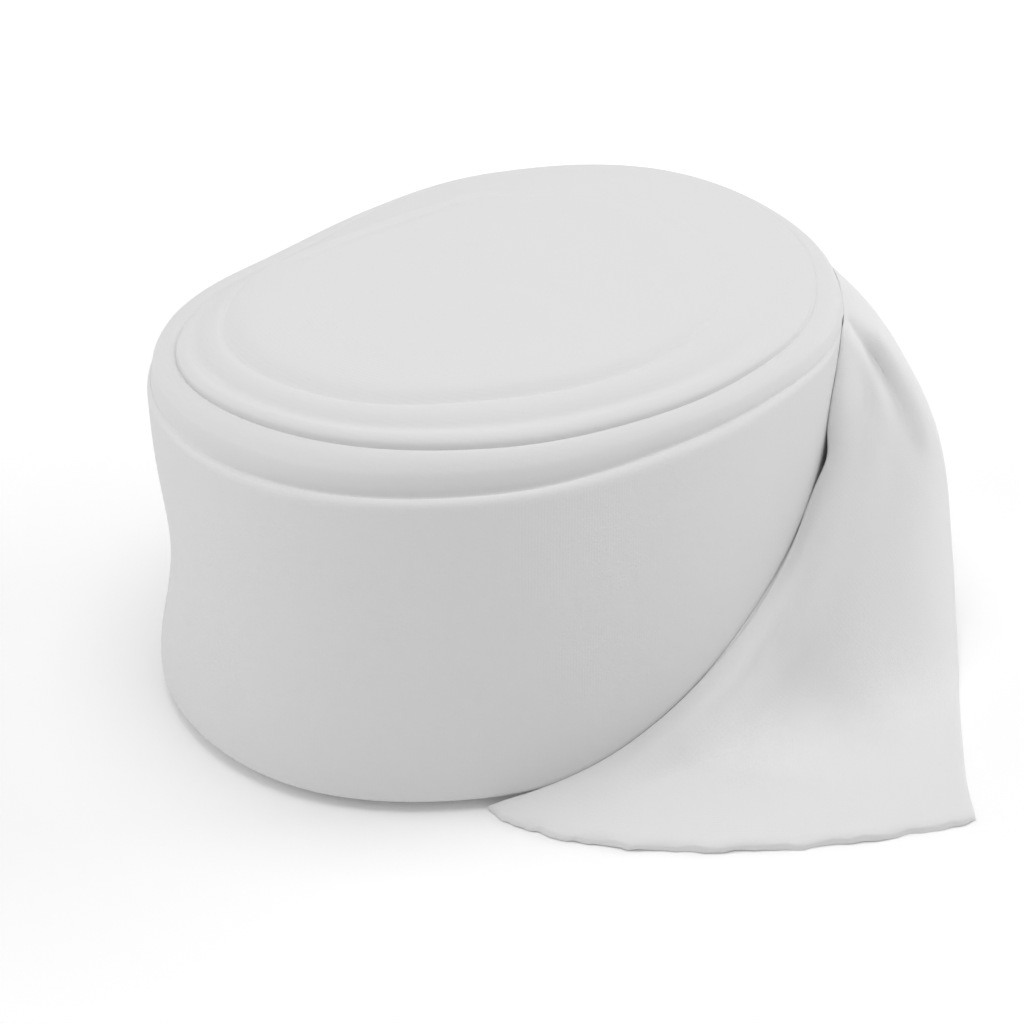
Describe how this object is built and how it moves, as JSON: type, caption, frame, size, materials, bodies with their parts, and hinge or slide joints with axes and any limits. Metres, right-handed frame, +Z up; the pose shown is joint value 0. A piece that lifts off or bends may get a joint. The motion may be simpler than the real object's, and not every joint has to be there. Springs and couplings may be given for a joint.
{
  "type": "tubular stockinette roll",
  "caption": "Roll of flat-pressed tubular cotton stockinette standing on its end, its last turn drawn off and its cut end spread on the surface in front.",
  "frame": {"origin": "centre of the roll's flat underside, on the surface it stands on", "axes": "+Z up along the axis of the winding, -Y towards the front, where the cut end lies, +X towards the side on which the loose end comes round"},
  "size_m": [0.2505, 0.2394, 0.1184],
  "materials": {
    "cotton_jersey": "matte white cotton jersey, fine knitted ribs along the tube, soft surface fuzz"
  },
  "bodies": {
    "root": {"wound_roll": "cotton_jersey", "loose_end": "cotton_jersey"}
  },
  "joints": []
}
